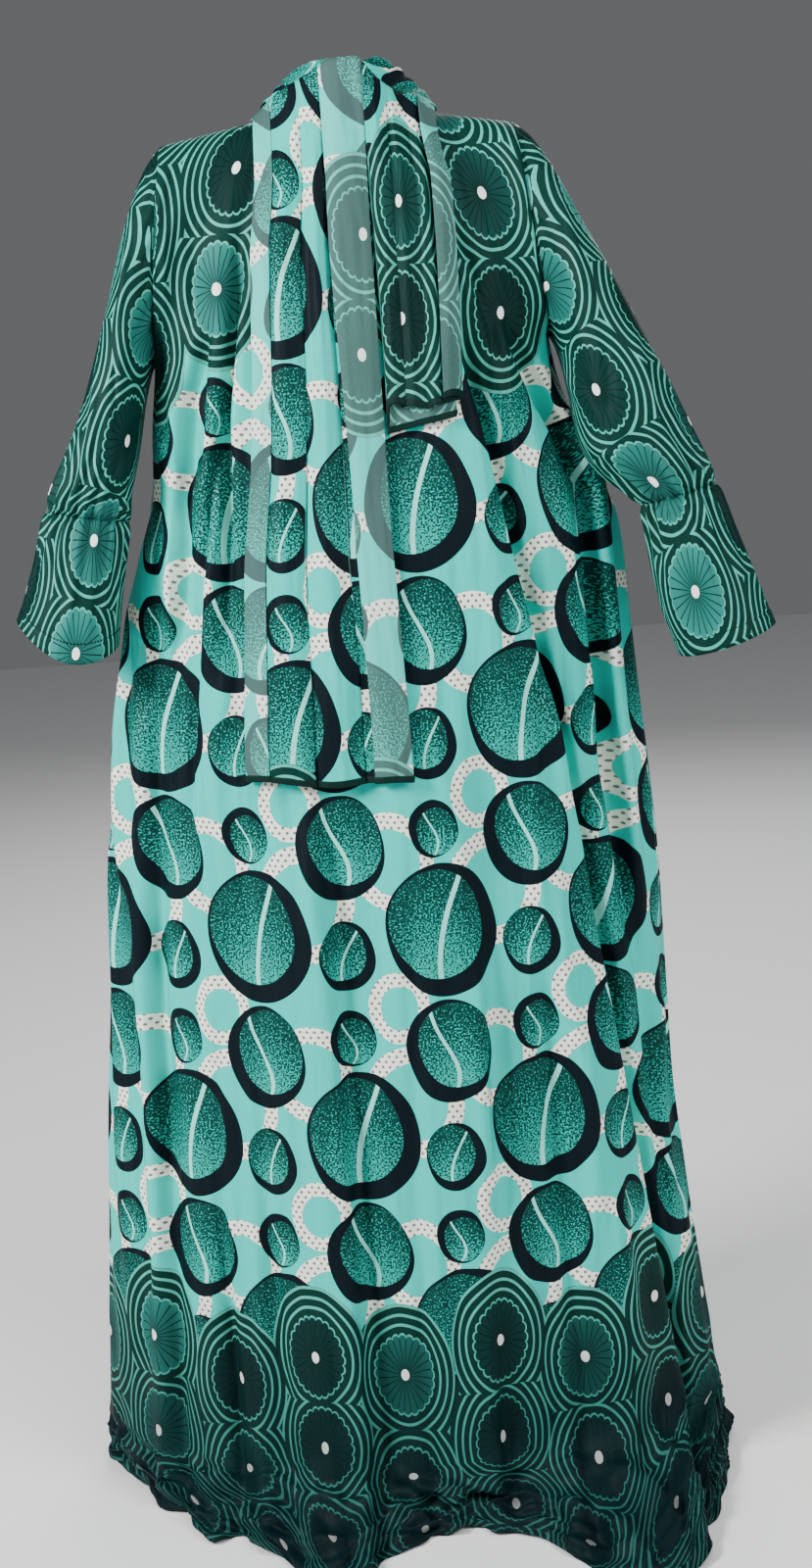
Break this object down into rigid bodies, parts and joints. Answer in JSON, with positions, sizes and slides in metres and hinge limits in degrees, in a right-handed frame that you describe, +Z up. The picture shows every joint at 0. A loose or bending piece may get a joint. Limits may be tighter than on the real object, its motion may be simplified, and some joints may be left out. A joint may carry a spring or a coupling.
{
  "type": "prayer dress with scarf",
  "caption": "Long loose prayer dress in green and aqua printed satin, long gathered sleeves with flared cuffs, pooled hem and a matching scarf over the neck, filled out with no wearer",
  "frame": {"origin": "middle of the neck at shoulder height, in the open hollow of the neck, where a stand or wearer would hold the dress; the floor is 1450 mm below", "axes": "+Z up, -Y toward the front of the dress, +X toward the viewer's right when facing the front"},
  "size_m": [0.7874, 0.6205, 1.522],
  "materials": {
    "body_cloth": "satin",
    "sleeve_cloth": "satin",
    "scarf_cloth": "satin",
    "scarf_dark_cloth": "satin"
  },
  "bodies": {
    "root": {"dress_front": "body_cloth", "dress_back": "body_cloth", "sleeve_left": "sleeve_cloth", "sleeve_right": "sleeve_cloth", "cuff_left": "sleeve_cloth", "cuff_right": "sleeve_cloth", "scarf_long_end": "scarf_cloth", "scarf_neck": "scarf_cloth", "scarf_short_end": "scarf_dark_cloth"}
  },
  "joints": []
}
